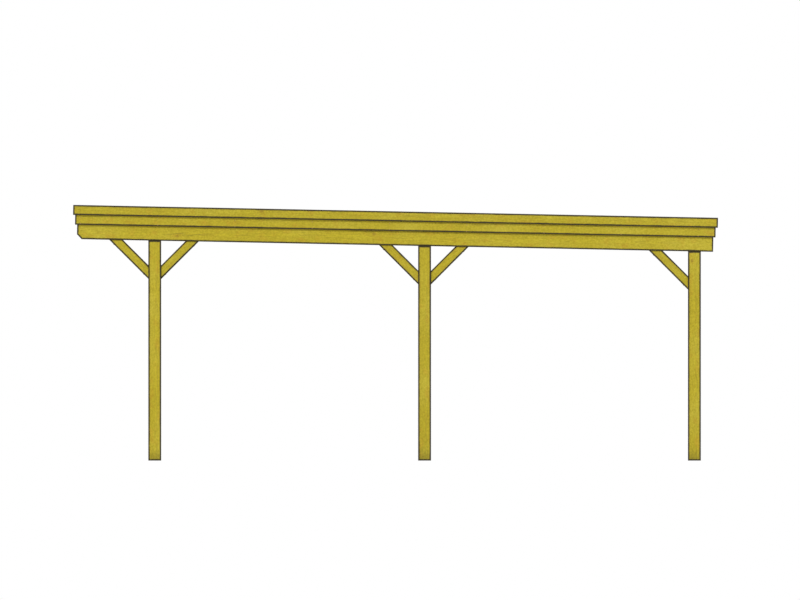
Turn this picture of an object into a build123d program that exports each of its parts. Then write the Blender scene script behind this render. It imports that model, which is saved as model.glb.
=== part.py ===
from build123d import *
import os
from math import atan, cos, radians, sin, tan

# Flat-roof timber carport, seen as it stands: millimetres, +Z up, ground at Z = 0.
# The car drives in along +X. The front end of the roof is the high one, and "right" is the -Y side.
# The origin lies on the ground under the middle of the roof.

# Overall sizes
roof_length = 6000  # over the upper fascia boards, along the fall
roof_width = 3000  # over the upper fascia boards, across
roof_fall = 0.02  # drop for each unit of length, from the front to the rear
front_height = 2379  # ground to the top of the upper fascia at the front end

# Posts
post_side = 120  # square section
front_overhang = 700  # front end of the roof to the face of the front post
rear_overhang = 160  # rear end of the roof to the face of the rear post
post_places = ("front", "middle", "rear")

# Purlins: one beam on each row of posts
purlin_width = 120
purlin_height = 160
purlin_nose = 45  # lower front corner, cut off at 45 degrees

# Braces between posts and purlins
brace_side = 90  # square section
brace_reach = 356  # purlin's underside down to the brace's lower edge, at the post's face
brace_angle = 45  # from the level

# Rafters across the purlins
rafter_count = 9
rafter_width = 60
rafter_height = 120

# Stepped fascia: a lower row of boards on the frame, and an upper row on the lower one
fascia_thickness = 20
fascia_purlin_lap = 26  # how far the lower boards hang down over the purlins
upper_fascia_height = 94
fascia_upstand = 38  # upper boards above the tops of the rafters
fascia_arris = 3

# Planed edges of posts, beams, rafters and braces
timber_arris = 5

# Ribbed roof sheets, with the ribs along the fall
sheet_thickness = 1.5
rib_pitch = 70
rib_height = 18  # underside of the pan to underside of the crest
rib_foot_width = 45
rib_crest_width = 25
ribs_per_sheet = 15  # a full sheet; the last one is cut to the width that is left
sheet_edge_gap = 5  # sheet to the upper fascia, all round
lap_clearance = 0.3  # between two sheets that lie on the same rib
lap_hem = 4  # edge of a lapped sheet above the pan that it comes down to

# Box gutter behind the rear fascia
gutter_width = 100
gutter_side_gap = 5  # gutter to rafter, and gutter to fascia
gutter_top_gap = 10  # top of the gutter below the tops of the rafters
gutter_wall = 2
outlet_diameter = 75
outlet_wall = 2.5
outlet_length = 60  # below the gutter
outlet_inset = 90  # side of the outlet to the inner face of the right purlin

# Frame of the roof: X runs down the fall, Z stands square to it, and Z = 0 is the underside of the purlins
slope = atan(roof_fall)
down_fall = Vector(cos(slope), 0, -sin(slope))
off_roof = Vector(sin(slope), 0, cos(slope))
rafter_seat = purlin_height
rafter_top = rafter_seat + rafter_height
upper_fascia_top = rafter_top + fascia_upstand
upper_fascia_bottom = upper_fascia_top - upper_fascia_height
lower_fascia_bottom = purlin_height - fascia_purlin_lap
roof_centre_x = -(upper_fascia_top + upper_fascia_bottom) / 2 * sin(slope)
roof_centre_z = front_height - roof_length / 2 * sin(slope) - upper_fascia_top * cos(slope)
roof_plane = Plane(origin=(roof_centre_x, 0, roof_centre_z), x_dir=down_fall, z_dir=off_roof)

# Sizes of the frame inside the fascia
lower_fascia_length = roof_length - 2 * fascia_thickness
lower_fascia_width = roof_width - 2 * fascia_thickness
frame_length = lower_fascia_length - 2 * fascia_thickness
frame_width = lower_fascia_width - 2 * fascia_thickness
row_y = frame_width / 2 - purlin_width / 2
side_signs = {"right": -1, "left": 1}


def roof_point(along, across, height):
    """Point of the roof frame, as a point of the carport's own frame."""
    return roof_plane.from_local_coords(Vector(along, across, height))


def planed_rectangle(width, height):
    """Section of a planed timber, with its four arrises taken off."""
    outline = Rectangle(width, height)
    chamfer(outline.vertices(), timber_arris)


def hand_over(piece, name):
    """Names a finished piece and writes it to its own file."""
    piece.part.label = name
    export_step(piece.part, f"parts/{name}.step")


os.makedirs("parts", exist_ok=True)

# Posts: upright, with the top cut to the underside of the purlin. The clear space between two posts of a row
# comes out at 2390.
first_post_x = -roof_length / 2 + front_overhang + post_side / 2
last_post_x = roof_length / 2 - rear_overhang - post_side / 2
post_spacing = (last_post_x - first_post_x) / (len(post_places) - 1)
post_x = {place: first_post_x + index * post_spacing for index, place in enumerate(post_places)}

for side, sign in side_signs.items():
    for place, x in post_x.items():
        with BuildPart() as post:
            with BuildSketch(Plane(origin=(x, sign * row_y, 0))):
                planed_rectangle(post_side, post_side)
            extrude(amount=front_height)
            split(bisect_by=roof_plane, keep=Keep.BOTTOM)
        hand_over(post, f"post_{side}_{place}")

# Purlins: one length each, square at the rear and nosed at the front
nose_plane = Plane(
    origin=roof_point(-frame_length / 2 + purlin_nose, 0, 0),
    x_dir=(0, 1, 0),
    z_dir=down_fall + off_roof,
)

for side, sign in side_signs.items():
    start = roof_point(-frame_length / 2, sign * row_y, purlin_height / 2)
    with BuildPart() as purlin:
        with BuildSketch(Plane(origin=start, x_dir=(0, 1, 0), z_dir=down_fall)):
            planed_rectangle(purlin_width, purlin_height)
        extrude(amount=frame_length)
        split(bisect_by=nose_plane, keep=Keep.TOP)
    hand_over(purlin, f"purlin_{side}")

# Braces: square timbers cut upright against the post and along the underside of the purlin
brace_slant = radians(brace_angle)
brace_drop = brace_reach - brace_side / 2 / cos(brace_slant)
brace_blank = 2 * brace_reach / sin(brace_slant)


def brace(x, y, direction):
    """Brace that rises from the post face at x, ahead of the post (direction -1) or behind it (+1)."""
    under_purlin = roof_centre_z - (x - roof_centre_x) * tan(slope)
    rise = Vector(direction * cos(brace_slant), 0, sin(brace_slant))
    foot_plane = Plane(origin=(x, y, under_purlin - brace_drop), x_dir=(0, 1, 0), z_dir=rise)
    with BuildPart() as timber:
        with BuildSketch(foot_plane):
            planed_rectangle(brace_side, brace_side)
        extrude(amount=brace_blank, both=True)
        split(bisect_by=Plane(origin=(x, y, 0), z_dir=(direction, 0, 0)), keep=Keep.TOP)
        split(bisect_by=roof_plane, keep=Keep.BOTTOM)
    return timber


for side, sign in side_signs.items():
    for place, x in post_x.items():
        ahead = brace(x - post_side / 2, sign * row_y, -1)
        hand_over(ahead, f"brace_{side}_{place}_ahead")
        if place != "rear":
            behind = brace(x + post_side / 2, sign * row_y, 1)
            hand_over(behind, f"brace_{side}_{place}_behind")

# Rafters: across both purlins, from the front end of the frame to the gutter
gutter_room = gutter_width + 2 * gutter_side_gap
first_rafter = -frame_length / 2 + rafter_width / 2
last_rafter = frame_length / 2 - gutter_room - rafter_width / 2
rafter_spacing = (last_rafter - first_rafter) / (rafter_count - 1)

for index in range(rafter_count):
    along = first_rafter + index * rafter_spacing
    start = roof_point(along, -frame_width / 2, rafter_seat + rafter_height / 2)
    with BuildPart() as rafter:
        with BuildSketch(Plane(origin=start, x_dir=down_fall, z_dir=(0, 1, 0))):
            planed_rectangle(rafter_width, rafter_height)
        extrude(amount=frame_width)
    hand_over(rafter, f"rafter_{index + 1}")

# Fascia: two rings of boards, mitred at the corners, with the outer edges planed
quarter_turn = 90
mitre_angle = 45


def fascia_ring(row, length, width, bottom, height):
    """Four boards round the roof; length and width are over their outer faces, bottom is their lower edge."""
    for turns, side in enumerate(("right", "rear", "left", "front")):
        board_length, across = (length, width) if side in side_signs else (width, length)
        along_board = down_fall.rotate(Axis((0, 0, 0), off_roof), turns * quarter_turn)
        board_plane = Plane(origin=roof_point(0, 0, bottom), x_dir=along_board, z_dir=off_roof)
        with BuildPart() as board:
            with BuildSketch(board_plane):
                with Locations((0, (fascia_thickness - across) / 2)):
                    Trapezoid(board_length, fascia_thickness, mitre_angle)
            extrude(amount=height)
            outward = Axis(board_plane.origin, -board_plane.y_dir)
            lengthwise = Axis(board_plane.origin, board_plane.x_dir)
            outer_face = board.faces().sort_by(outward)[-1]
            chamfer(outer_face.edges().filter_by(lengthwise), fascia_arris)
        hand_over(board, f"fascia_{row}_{side}")


lower_fascia_height = rafter_top - lower_fascia_bottom
fascia_ring("lower", lower_fascia_length, lower_fascia_width, lower_fascia_bottom, lower_fascia_height)
fascia_ring("upper", roof_length, roof_width, upper_fascia_bottom, upper_fascia_height)

# Roof sheets: pans on the rafters and ribs between them. A rib is a trapezium, and growth is how far a face
# stands off the underside of a plain rib, measured square to that face.
flank_angle = atan(2 * rib_height / (rib_foot_width - rib_crest_width))
sheet_cover = roof_width - 2 * fascia_thickness - 2 * sheet_edge_gap
rib_count = int((sheet_cover - rib_foot_width) / rib_pitch) + 1
sheet_front = -(roof_length / 2 - fascia_thickness - sheet_edge_gap)
sheet_rear = frame_length / 2 - gutter_room / 2
lap_growth = sheet_thickness + lap_clearance


def rib_half_width(height, growth):
    """Half width of a rib at a height above the pan's underside."""
    return rib_foot_width / 2 + growth / sin(flank_angle) - height / tan(flank_angle)


def sheet_line(first_rib, last_rib, growth):
    """Points of one face of a sheet across the fall, from its right edge to its left one."""
    points = []
    for rib in range(first_rib, last_rib + 1):
        laps_over = rib == first_rib and rib > 0
        is_lapped = rib == last_rib and rib < rib_count - 1
        rib_growth = growth + lap_growth if laps_over else growth
        middle = (rib - (rib_count - 1) / 2) * rib_pitch
        crest = rib_height + rib_growth
        near_height = lap_hem if laps_over else growth
        far_height = lap_hem if is_lapped else growth
        points.append((middle - rib_half_width(near_height, rib_growth), near_height))
        points.append((middle - rib_half_width(crest, rib_growth), crest))
        points.append((middle + rib_half_width(crest, rib_growth), crest))
        points.append((middle + rib_half_width(far_height, rib_growth), far_height))
    if first_rib == 0:
        points.insert(0, (-sheet_cover / 2, growth))
    if last_rib == rib_count - 1:
        points.append((sheet_cover / 2, growth))
    return points


sheet_plane = Plane(origin=roof_point(sheet_front, 0, rafter_top), x_dir=(0, 1, 0), z_dir=down_fall)
sheet_starts = range(0, rib_count - 1, ribs_per_sheet - 1)

for index, first_rib in enumerate(sheet_starts):
    last_rib = min(first_rib + ribs_per_sheet - 1, rib_count - 1)
    with BuildPart() as sheet:
        with BuildSketch(sheet_plane):
            with BuildLine():
                underside = sheet_line(first_rib, last_rib, 0)
                top_side = sheet_line(first_rib, last_rib, sheet_thickness)
                Polyline(*underside, *reversed(top_side), close=True)
            make_face()
        extrude(amount=sheet_rear - sheet_front)
    hand_over(sheet, f"roof_sheet_{index + 1}")

# Gutter: an open box on the purlins behind the last rafter, with an outlet in its floor
gutter_middle = frame_length / 2 - gutter_room / 2
gutter_height = rafter_height - gutter_top_gap
gutter_length = frame_width - 2 * gutter_side_gap
gutter_floor = Plane(origin=roof_point(gutter_middle, 0, rafter_seat), x_dir=down_fall, z_dir=off_roof)
outlet_y = -(row_y - purlin_width / 2 - outlet_inset - outlet_diameter / 2)

with BuildPart() as gutter:
    with BuildSketch(gutter_floor):
        Rectangle(gutter_width, gutter_length)
    extrude(amount=gutter_height)
    rim = gutter.faces().sort_by(Axis(gutter_floor.origin, off_roof))[-1]
    offset(amount=-gutter_wall, openings=rim)
    with BuildSketch(gutter_floor):
        with Locations((0, outlet_y)):
            Circle(outlet_diameter / 2)
    extrude(amount=-outlet_length)
    with BuildSketch(gutter_floor.offset(gutter_wall)):
        with Locations((0, outlet_y)):
            Circle(outlet_diameter / 2 - outlet_wall)
    extrude(amount=-outlet_length - gutter_wall, mode=Mode.SUBTRACT)
hand_over(gutter, "rain_gutter")
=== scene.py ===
"""Looks of the flat-roof timber carport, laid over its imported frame.

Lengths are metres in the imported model's own frame: +X runs from the high front to the low rear, +Z is up and
the right side is at -Y. The timbers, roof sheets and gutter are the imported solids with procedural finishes.
Screws, nails, brackets, plates and gutter straps are made here.
"""

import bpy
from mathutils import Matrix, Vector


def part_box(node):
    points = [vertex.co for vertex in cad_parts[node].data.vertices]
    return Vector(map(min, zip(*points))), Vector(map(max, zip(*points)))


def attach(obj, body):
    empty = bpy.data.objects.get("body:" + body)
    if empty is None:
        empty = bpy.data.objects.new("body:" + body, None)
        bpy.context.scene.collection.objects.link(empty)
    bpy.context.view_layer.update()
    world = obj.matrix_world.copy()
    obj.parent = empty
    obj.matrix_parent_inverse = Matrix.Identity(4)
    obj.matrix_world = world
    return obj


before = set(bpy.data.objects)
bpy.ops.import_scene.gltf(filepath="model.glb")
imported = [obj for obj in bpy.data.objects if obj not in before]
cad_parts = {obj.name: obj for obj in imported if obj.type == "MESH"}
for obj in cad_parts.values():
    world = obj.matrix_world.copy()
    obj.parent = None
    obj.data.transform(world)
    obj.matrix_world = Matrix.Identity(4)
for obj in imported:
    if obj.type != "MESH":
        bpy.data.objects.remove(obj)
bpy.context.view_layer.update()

import logging
import math
from dataclasses import dataclass, replace
from enum import Enum
from functools import cached_property, partialmethod
from typing import Any

import bpy
import numpy as np
from mathutils import Vector

Colour = tuple[float, float, float]
Pair = tuple[float, float]
Axes = tuple[np.ndarray, np.ndarray, np.ndarray]
Term = Any
Settings = dict[Any, Any] | None
Rows = list[tuple[np.ndarray, np.ndarray]]

log = logging.getLogger("carport")

ROOT = "root"
SIDES = {"right": -1, "left": 1}
PLACES = ("front", "middle", "rear")
SPOTS = [(row, side, number, place) for row, side in enumerate(SIDES) for number, place in enumerate(PLACES)]
BRACES = sorted(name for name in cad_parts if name.startswith("brace_"))
AHEAD = np.array([1.0, 0.0, 0.0])
ACROSS = np.array([0.0, 1.0, 0.0])
UP = np.array([0.0, 0.0, 1.0])
QUARTER_TURN = math.pi / 2
GOLDEN_ANGLE = math.pi * (3 - math.sqrt(5))
SHARP_EDGE = math.radians(35)
UPRIGHT = 0.9  # upward part of a direction that counts as upright
CUT_ACROSS = (0.45, 0.85)  # how far a face looks along the grain where end grain begins and is full
LOBES = 6  # corners of a hexagon head, and points of a star drive
SMOOTH = {"interpolation_type": "SMOOTHSTEP"}
COLOUR_SOCKETS = (0, 6, 7)  # share, first and second colour of a Mix node
COLOUR_RESULT = 2  # colour that it gives


def unit(vector: np.ndarray) -> np.ndarray:
    """The vector divided by its length."""
    return vector / np.linalg.norm(vector)


def srgb(red: int, green: int, blue: int) -> Colour:
    """Linear colour of a display colour.

    Args:
        red: red step, from 0 to 255.
        green: green step.
        blue: blue step.

    Returns:
        The three linear parts: ((c + 0.055) / 1.055) to the power 2.4, and c / 12.92 near black.
    """
    parts = np.array([red, green, blue]) / 255
    linear = np.where(parts > 0.04045, ((parts + 0.055) / 1.055) ** 2.4, parts / 12.92)
    return tuple(float(part) for part in linear)


def box_middle(node: str) -> np.ndarray:
    """Middle of a node's box."""
    low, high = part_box(node)
    return (np.array(low) + np.array(high)) / 2


def brace_axes(node: str) -> tuple[np.ndarray, np.ndarray]:
    """Unit vectors up along a brace, and square to it into the corner of post and purlin."""
    away = -AHEAD if node.endswith("ahead") else AHEAD
    return unit(away + UP), unit(UP - away)


def brace_half(node: str) -> float:
    """Half the length of a brace's lower face, which is the diagonal of its square box."""
    low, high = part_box(node)
    return (high[0] - low[0]) / math.sqrt(2)


def dress(node: str, material: bpy.types.Material) -> None:
    """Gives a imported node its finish."""
    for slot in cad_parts[node].material_slots:
        slot.material = material


class Signal:
    """One output of a shader node. Arithmetic on it adds the Math nodes that work it out."""

    def __init__(self, graph: "Graph", socket: bpy.types.NodeSocket) -> None:
        """Keeps the graph and the socket that the signal comes from."""
        self.graph = graph
        self.socket = socket

    def math(self, operation: str, other: Term = 0.0) -> "Signal":
        """One Math node on this signal and another term."""
        return self.graph.math(operation, self, other)

    def __rsub__(self, other: Term) -> "Signal":
        """Difference from a number."""
        return self.graph.math("SUBTRACT", other, self)

    __add__ = __radd__ = partialmethod(math, "ADD")
    __sub__ = partialmethod(math, "SUBTRACT")
    __mul__ = __rmul__ = partialmethod(math, "MULTIPLY")
    __truediv__ = partialmethod(math, "DIVIDE")
    __abs__ = partialmethod(math, "ABSOLUTE")
    fraction = partialmethod(math, "FRACT")

    def hypotenuse(self, other: "Signal") -> "Signal":
        """Root of the sum of the two squares."""
        return (self * self + other * other).math("SQRT")

    def step(self, low: float, high: float) -> "Signal":
        """Smooth step: 0 up to low, 1 from high, t * t * (3 - 2 * t) between. It falls where high is less."""
        sockets = {"Value": self, "From Min": low, "From Max": high}
        return self.graph.signal("ShaderNodeMapRange", "Result", SMOOTH, sockets)


class Graph:
    """Node tree of one material or world, written as expressions."""

    def __init__(self, tree: bpy.types.NodeTree) -> None:
        """Empties the tree and keeps it."""
        self.tree = tree
        self.tree.nodes.clear()

    def node(self, kind: str, settings: Settings = None, sockets: Settings = None) -> bpy.types.Node:
        """Adds one node.

        Args:
            kind: the node's type name.
            settings: its own settings, set before the sockets.
            sockets: socket name or number, with a value or the signal that feeds it.

        Returns:
            The new node.
        """
        made = self.tree.nodes.new(kind)
        for name, value in (settings or {}).items():
            setattr(made, name, value)
        for name, value in (sockets or {}).items():
            if isinstance(value, Signal):
                self.tree.links.new(value.socket, made.inputs[name])
            else:
                made.inputs[name].default_value = value
        return made

    def signal(self, kind: str, output: int | str, *terms: Settings) -> Signal:
        """One output of a new node with the given settings and sockets."""
        return Signal(self, self.node(kind, *terms).outputs[output])

    def math(self, operation: str, first: Term, second: Term = 0.0) -> Signal:
        """One Math node on two terms."""
        return self.signal("ShaderNodeMath", 0, {"operation": operation}, {0: first, 1: second})

    larger = partialmethod(math, "MAXIMUM")
    smaller = partialmethod(math, "MINIMUM")

    def dot(self, first: Term, second: Term) -> Signal:
        """Dot product of two vectors."""
        settings = {"operation": "DOT_PRODUCT"}
        return self.signal("ShaderNodeVectorMath", "Value", settings, {0: first, 1: second})

    def vector(self, x: Term, y: Term, z: Term) -> Signal:
        """Vector of three terms."""
        return self.signal("ShaderNodeCombineXYZ", 0, None, {"X": x, "Y": y, "Z": z})

    def place(self) -> Signal:
        """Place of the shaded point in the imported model's frame."""
        return self.signal("ShaderNodeTexCoord", "Object")

    def offset(self, origin: np.ndarray) -> Signal:
        """Way to the shaded point from an origin."""
        sockets = {0: self.place(), 1: tuple(origin)}
        return self.signal("ShaderNodeVectorMath", 0, {"operation": "SUBTRACT"}, sockets)

    def facing(self, direction: np.ndarray) -> Signal:
        """How much the surface faces a direction: the dot product with its normal."""
        return self.dot(self.signal("ShaderNodeTexCoord", "Normal"), tuple(direction))

    def rays(self, kind: str) -> Signal:
        """1 for rays of one kind, such as those from the camera."""
        return self.signal("ShaderNodeLightPath", kind)

    def noise(self, place: Signal, detail: float = 2.0, scale: float = 1.0) -> Signal:
        """Noise from 0 to 1, about 0.5 on the average."""
        return self.signal("ShaderNodeTexNoise", 0, None, {"Vector": place, "Scale": scale, "Detail": detail})

    def cells(self, place: Signal, scale: float = 1.0) -> tuple[Signal, Signal]:
        """Scattered points, one to a cell of space.

        Args:
            place: where the pattern is read.
            scale: cells to a unit of the place.

        Returns:
            Distance to the nearest point, and that point's own random number.
        """
        made = self.node("ShaderNodeTexVoronoi", {"feature": "F1"}, {"Vector": place, "Scale": scale})
        number = self.dot(Signal(self, made.outputs["Color"]), tuple(AHEAD))
        return Signal(self, made.outputs["Distance"]), number

    def mix(self, share: Term, first: Term, second: Term, blend: str = "MIX") -> Signal:
        """Mixture of two colours.

        Args:
            share: share of the second colour.
            first: first colour, or the signal that gives it.
            second: second colour.
            blend: how the second is laid on the first.

        Returns:
            The colour between them.
        """
        colours = [term if isinstance(term, Signal) else (*term, 1.0) for term in (first, second)]
        settings = {"data_type": "RGBA", "blend_type": blend}
        sockets = dict(zip(COLOUR_SOCKETS, (share, *colours)))
        return self.signal("ShaderNodeMix", COLOUR_RESULT, settings, sockets)

    def bump(self, height: Signal, depth: float) -> Signal:
        """Normal of a surface with the height times depth, in metres, laid on it."""
        return self.signal("ShaderNodeBump", 0, None, {"Height": height, "Distance": depth})


class Paint(Graph):
    """Graph of a new material."""

    def __init__(self, name: str) -> None:
        """Adds the material.

        Args:
            name: its name.
        """
        self.material = bpy.data.materials.new(name)
        self.material.use_nodes = True
        super().__init__(self.material.node_tree)

    def surface(self, sockets: dict[str, Term]) -> bpy.types.Material:
        """Ends the graph in one Principled shader.

        Args:
            sockets: the shader's sockets by name.

        Returns:
            The finished material.
        """
        shader = self.signal("ShaderNodeBsdfPrincipled", 0, None, sockets)
        self.node("ShaderNodeOutputMaterial", None, {"Surface": shader})
        return self.material


@dataclass(frozen=True)
class Timber:
    """One timber and how it was cut from its log.

    Attributes:
        node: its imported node.
        axes: unit vectors with the grain, square to the broad face and square to the narrow one.
        half: half lengths of the timber on those axes.
        pith: centre of the log on the last two axes, from the timber's middle.
        seed: number that sets this timber's pattern apart.
        shift: way on the last axis from the middle of its box to its own middle.
    """

    node: str
    axes: Axes
    half: tuple[float, float, float]
    pith: Pair
    seed: float
    shift: float = 0.0

    @property
    def middle(self) -> np.ndarray:
        """Middle of the timber."""
        return box_middle(self.node) + self.axes[2] * self.shift


@dataclass(frozen=True)
class Waves:
    """A pattern in a timber's own axes.

    Attributes:
        lengthwise: waves to a metre with the grain.
        crosswise: waves to a metre across it.
        shift: start of the pattern, which sets it apart from the others.
        detail: how many finer noises it carries.
    """

    lengthwise: float
    crosswise: float
    shift: float = 0.0
    detail: float = 2.0


FIBRES = Waves(9.0, 620.0, 5.0)
STREAKS = Waves(1.4, 70.0, 7.0)
CLOUDS = Waves(1.6, 3.0, 19.0)
BLOTCHES = Waves(10.0, 15.0, 13.0, 3.0)
MOTTLE = Waves(58.0, 72.0, 17.0, 3.0)
RING_WAVER = Waves(2.5, 18.0, 3.0)
PITH_ON_FACE = Waves(0.7, 0.0, 11.0, 1.0)
PITH_ON_EDGE = Waves(0.7, 0.0, 37.0, 1.0)
KNOTS = Waves(6.0, 9.0)
CRACKS = Waves(1.1, 26.0, 23.0)
CRACK_PATCHES = Waves(0.9, 9.0, 29.0, 1.0)
ARRIS_UNEVENNESS = Waves(12.0, 60.0, 53.0)


class LogSpace:
    """The shaded point in the axes of one timber."""

    def __init__(self, graph: Graph, timber: Timber) -> None:
        """Works out the three distances from the timber's middle.

        Args:
            graph: graph of the timber's material.
            timber: the timber.
        """
        self.graph = graph
        self.timber = timber
        offset = graph.offset(timber.middle)
        self.along, self.face, self.edge = (graph.dot(offset, tuple(axis)) for axis in timber.axes)

    def counted(self, waves: Waves) -> Signal:
        """The shaded point, counted in waves from the timber's middle."""
        start = self.along * waves.lengthwise + (self.timber.seed + waves.shift)
        return self.graph.vector(start, self.face * waves.crosswise, self.edge * waves.crosswise)

    def noise(self, waves: Waves) -> Signal:
        """Noise from 0 to 1 with the given waves."""
        return self.graph.noise(self.counted(waves), waves.detail)

    def swing(self, waves: Waves) -> Signal:
        """The same noise about 0, from -0.5 to 0.5."""
        return self.noise(waves) - 0.5

    def radius(self, wander: float) -> Signal:
        """Distance from a pith that wanders along the log: the root of the sum of two squares.

        Args:
            wander: how far the pith strays in all.

        Returns:
            The distance in metres.
        """
        pith_face, pith_edge = self.timber.pith
        from_face = self.face + self.swing(PITH_ON_FACE) * wander - pith_face
        from_edge = self.edge + self.swing(PITH_ON_EDGE) * wander - pith_edge
        return from_face.hypotenuse(from_edge)

    def end_grain(self) -> Signal:
        """1 on a face cut across the grain, 0 on one along it."""
        return abs(self.graph.facing(self.timber.axes[0])).step(*CUT_ACROSS)

    def to_arris(self, end: Signal, nose: float, reach: float) -> Signal:
        """Way on the surface to the nearest arris.

        Of the ways in from the two sides, one is nothing on a long face, so their sum is the way to the
        arris. On an end face it is their sum without the larger. The ends, and a lower front corner cut off
        at 45 degrees, add the ways to their own planes, but not on the faces that lie in them. On an edge
        narrower than four reaches the way is stretched, so that a line on either side takes a quarter of it.

        Args:
            end: 1 on a face cut across the grain.
            nose: size of the corner that is cut off, or 0.
            reach: width of the line along the arris.

        Returns:
            The way in metres.
        """
        half_along, half_face, half_edge = self.timber.half
        from_face = (half_face - abs(self.face)) * max(1.0, 2 * reach / half_face)
        from_edge = half_edge - abs(self.edge)
        aside = from_face + from_edge - end * self.graph.larger(from_face, from_edge)
        way = self.graph.smaller(aside, half_along - abs(self.along) + end)
        if nose:
            from_cut = (self.along + self.edge + (half_along + half_edge - nose)) * math.sqrt(0.5)
            way = self.graph.smaller(way, from_cut + end)
        return way


@dataclass(frozen=True)
class Stain:
    """A colour that the treatment left where a noise is high.

    Attributes:
        tone: the colour.
        waves: the noise.
        levels: levels of the noise at which the colour begins and is full.
        share: its share where it is full.
    """

    tone: Colour
    waves: Waves
    levels: Pair
    share: float

    def over(self, space: LogSpace, colour: Signal) -> Signal:
        """The colour below with the stain laid over it."""
        return space.graph.mix(space.noise(self.waves).step(*self.levels) * self.share, colour, self.tone)


AMBER = srgb(179, 139, 26)
PALE_CLOUDS = Stain(srgb(197, 184, 62), CLOUDS, (0.40, 0.75), 0.40)
AMBER_BLOTCHES = Stain(AMBER, BLOTCHES, (0.50, 0.76), 0.42)


@dataclass(frozen=True)
class TreatedTimber:
    """Planed, pressure-treated pine.

    Growth rings are shells round the pith, bent round the knots. Treatment has left a fine mottling and cloudy
    blotches, pale and amber. A dark line is drawn along every arris, like an outline. Fascia boards may hold
    rows of nails punched below the surface, whose holes are painted dark as painted shade. A pair of levels is
    where a smooth step is 0 and where it is 1.
    """

    early: Colour = srgb(184, 167, 29)
    late: Colour = srgb(155, 136, 21)
    knot: Colour = srgb(132, 97, 28)
    end_tone: Colour = srgb(150, 131, 34)
    # Dark brown of soil splash and cracks. It is also laid as the dark arris line, and as painted shade in the
    # nail holes.
    soil_and_shade: Colour = srgb(32, 26, 13)
    stains: tuple[Stain, ...] = (PALE_CLOUDS, AMBER_BLOTCHES)
    timber_contrast: float = 0.02
    fibre_contrast: float = 0.28
    streak_contrast: float = 0.09
    mottle_contrast: float = 0.78
    mottle_paling: float = 1.70
    pith_wander: float = 0.06
    ring_width: float = 0.0048
    ring_waver: float = 0.010
    ring_bend: float = 0.007
    ring_rise: Pair = (0.25, 0.88)
    ring_fall: Pair = (1.0, 0.93)
    ring_share: float = 0.46
    year_waves: float = 0.31
    year_swing: float = 0.9
    year_least: float = 0.45
    knot_radius: float = 0.013
    knot_levels: Pair = (1.0, 0.70)
    knot_share: float = 0.24
    knot_blend: float = 0.04
    knot_depth: float = 0.42
    halo_levels: Pair = (2.8, 0.8)
    halo_depth: float = 0.25
    crack_levels: Pair = (0.006, 0.0015)
    crack_patches: Pair = (0.56, 0.66)
    crack_share: float = 0.6
    # Dark line drawn along every arris, like an outline: its width, the levels and depth of its crisp core,
    # its unevenness, and the levels and depth of its softer fringe.
    arris_reach: float = 0.0135
    arris_levels: Pair = (1.12, 0.88)
    arris_unevenness: float = 0.5
    arris_depth: float = 0.95
    fringe_levels: Pair = (1.5, 1.0)
    fringe_depth: float = 0.25
    end_depth: float = 0.45
    end_ring_depth: float = 0.5
    nose: float = 0.0
    # Punched nails: their places and sizes. The darkness of each hole is painted shade.
    nail_start: float = 0.0
    nail_pitch: float = 0.0
    nail_row: float = -0.019
    nail_gauge: float = 0.014
    nail_radius: float = 0.0024
    nail_core: float = 0.7
    nail_hole_shade: float = 0.85
    splash_height: float = 0.0
    splash_depth: float = 0.35
    roughness: float = 0.58
    end_roughness: float = 0.25
    ring_polish: float = 0.08
    fibre_roughness: float = 0.10
    specular: float = 0.3
    relief: float = 0.0006
    fibre_height: float = 0.25
    ring_height: float = 0.35
    knot_height: float = 0.5
    crack_sink: float = 2.0
    nail_sink: float = 2.0

    def knots(self, space: LogSpace) -> tuple[Signal, Signal]:
        """Knots: balls at scattered points, of which only a share holds one.

        Args:
            space: the timber's axes.

        Returns:
            The knot itself and the bent grain round it, each from 0 to 1.
        """
        distance, number = space.graph.cells(space.counted(KNOTS))
        reach = distance / (self.knot_radius * KNOTS.crosswise)
        present = number.step(1.0 - self.knot_share, 1.0 - self.knot_share + self.knot_blend)
        return reach.step(*self.knot_levels) * present, reach.step(*self.halo_levels) * present

    def rings(self, space: LogSpace, halo: Signal) -> Signal:
        """Growth rings: a slow rise and a quick fall in each ring width, stronger in some years.

        Args:
            space: the timber's axes.
            halo: bent grain round the knots.

        Returns:
            The ring, from 0 to about 1.
        """
        radius = space.radius(self.pith_wander) + space.swing(RING_WAVER) * self.ring_waver
        turns = (radius + halo * self.ring_bend) / self.ring_width
        year = space.graph.noise(space.graph.vector(turns * self.year_waves, space.timber.seed, 0.0), 1.0)
        phase = turns.fraction()
        ring = phase.step(*self.ring_rise) * phase.step(*self.ring_fall)
        return ring * (year * self.year_swing + self.year_least)

    def cracks(self, space: LogSpace) -> Signal:
        """Fine drying cracks: the level lines of a long, thin noise, in patches."""
        thread = abs(space.swing(CRACKS)).step(*self.crack_levels)
        return thread * space.noise(CRACK_PATCHES).step(*self.crack_patches) * self.crack_share

    def arris(self, space: LogSpace, end: Signal) -> Signal:
        """Dark line drawn along every arris, like an outline: a crisp core in a soft fringe, uneven in width.

        Args:
            space: the timber's axes.
            end: 1 on a face cut across the grain.

        Returns:
            Depth of the line, from 0 to 1.
        """
        reach = self.arris_reach
        way = space.to_arris(end, self.nose, reach) + space.swing(ARRIS_UNEVENNESS) * (reach * self.arris_unevenness)
        lines = ((self.arris_levels, self.arris_depth), (self.fringe_levels, self.fringe_depth))
        # A crisp core and a softer fringe make one dark outline along the arris; stain here is that fringe.
        core, stain = (way.step(reach * outer, reach * inner) * depth for (outer, inner), depth in lines)
        return space.graph.larger(core, stain)

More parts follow.
